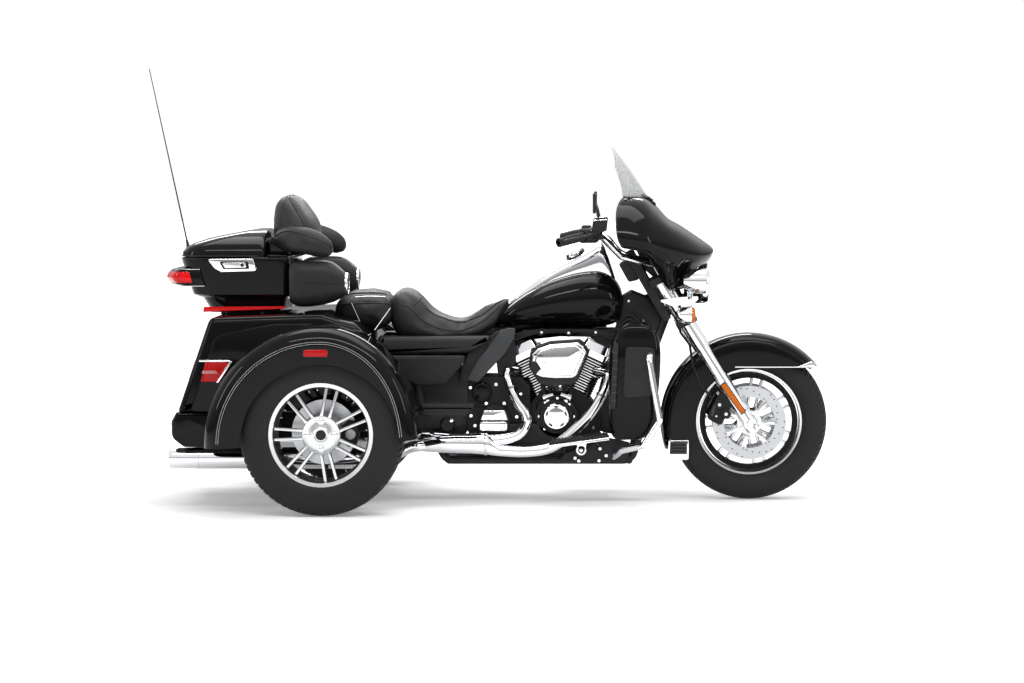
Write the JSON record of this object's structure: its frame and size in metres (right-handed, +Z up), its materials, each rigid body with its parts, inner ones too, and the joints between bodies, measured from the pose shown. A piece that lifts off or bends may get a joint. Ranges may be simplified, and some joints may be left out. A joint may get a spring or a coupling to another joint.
{
  "type": "motorized trike",
  "caption": "Touring trike: steered front wheel and batwing fairing, V-twin engine, two fendered rear wheels with a trunk between them, top box, padded backrest, tall antenna.",
  "frame": {"origin": "on the ground, below the middle of the bounding box", "axes": "+X forward, +Y to the left of the rider, +Z up"},
  "size_m": [2.8059, 1.39, 1.7706],
  "materials": {
    "gloss_black": "gloss black paint",
    "satin_black": "satin black powder coat",
    "black_plastic": "grained black plastic",
    "chrome": "polished chrome",
    "aluminium": "machined aluminium",
    "tyre": "tyre rubber",
    "rubber": "black rubber",
    "seat_leather": "black grained leather",
    "red_lens": "red lens plastic",
    "clear_glass": "clear"
  },
  "bodies": {
    "chassis": {"air_cleaner_base": "satin_black", "air_cleaner_cover": "chrome", "antenna": "satin_black", "backrest_pad": "seat_leather", "cam_cover": "chrome", "crankcase": "satin_black", "cylinders": "satin_black", "deflectors": "black_plastic", "engine_guard": "chrome", "exhaust_headers": "chrome", "fender_left": "gloss_black", "fender_right": "gloss_black", "frame": "satin_black", "fuel_tank": "gloss_black", "gearbox_case": "satin_black", "gearbox_cover": "chrome", "leg_shields": "black_plastic", "mufflers": "chrome", "passenger_footboards": "rubber", "passenger_seat": "seat_leather", "primary_cover": "chrome", "pushrod_tubes": "chrome", "rear_axle": "satin_black", "rear_bumper": "gloss_black", "rider_footboards": "rubber", "rider_seat": "seat_leather", "rocker_covers": "chrome", "side_covers": "gloss_black", "speaker_pods": "black_plastic", "tail_lamps": "red_lens", "tank_console": "chrome", "topbox_base": "gloss_black", "topbox_lamps": "red_lens", "topbox_rack": "satin_black", "trunk_shell": "gloss_black"},
    "steering": {"triple_trees": "satin_black", "fork_legs": "chrome", "front_fender": "gloss_black", "front_calipers": "satin_black", "fairing_outer": "gloss_black", "fairing_inner": "black_plastic", "windshield": "clear_glass", "headlamp": "chrome", "headlamp_lens": "clear_glass", "passing_lamps": "chrome", "turn_signals": "chrome", "lamp_bracket": "chrome", "handlebar": "chrome", "hand_controls": "satin_black", "mirrors": "chrome", "brake_hose": "rubber"},
    "front_wheel": {"front_tyre": "tyre", "front_rim": "aluminium"},
    "rear_wheel_left": {"rear_tyre_left": "tyre", "rear_rim_left": "aluminium"},
    "rear_wheel_right": {"rear_tyre_right": "tyre", "rear_rim_right": "aluminium"},
    "topbox_lid": {"topbox_lid": "gloss_black"},
    "trunk_door": {"trunk_door": "gloss_black"}
  },
  "joints": [
    {"name": "steering", "type": "hinge", "parent": "chassis", "child": "steering", "pos_m": [0.78306, 0, 0.82], "axis": [-0.4384, 0, 0.8988], "range_deg": [-30, 30]},
    {"name": "front_wheel", "type": "hinge", "parent": "steering", "child": "front_wheel", "pos_m": [1.083, 0, 0.32], "axis": [0, 1, 0], "continuous": true},
    {"name": "rear_wheel_left", "type": "hinge", "parent": "chassis", "child": "rear_wheel_left", "pos_m": [-0.612, 0.558, 0.32], "axis": [0, 1, 0], "continuous": true},
    {"name": "rear_wheel_right", "type": "hinge", "parent": "chassis", "child": "rear_wheel_right", "pos_m": [-0.612, -0.558, 0.32], "axis": [0, 1, 0], "continuous": true},
    {"name": "topbox_lid", "type": "hinge", "parent": "chassis", "child": "topbox_lid", "pos_m": [-1.04, 0.2925, 0.9995], "axis": [-1, 0, 0], "range_deg": [0, 75]},
    {"name": "trunk_door", "type": "hinge", "parent": "chassis", "child": "trunk_door", "pos_m": [-1.1968, 0, 0.433], "axis": [0, -1, 0], "range_deg": [0, 85]}
  ]
}
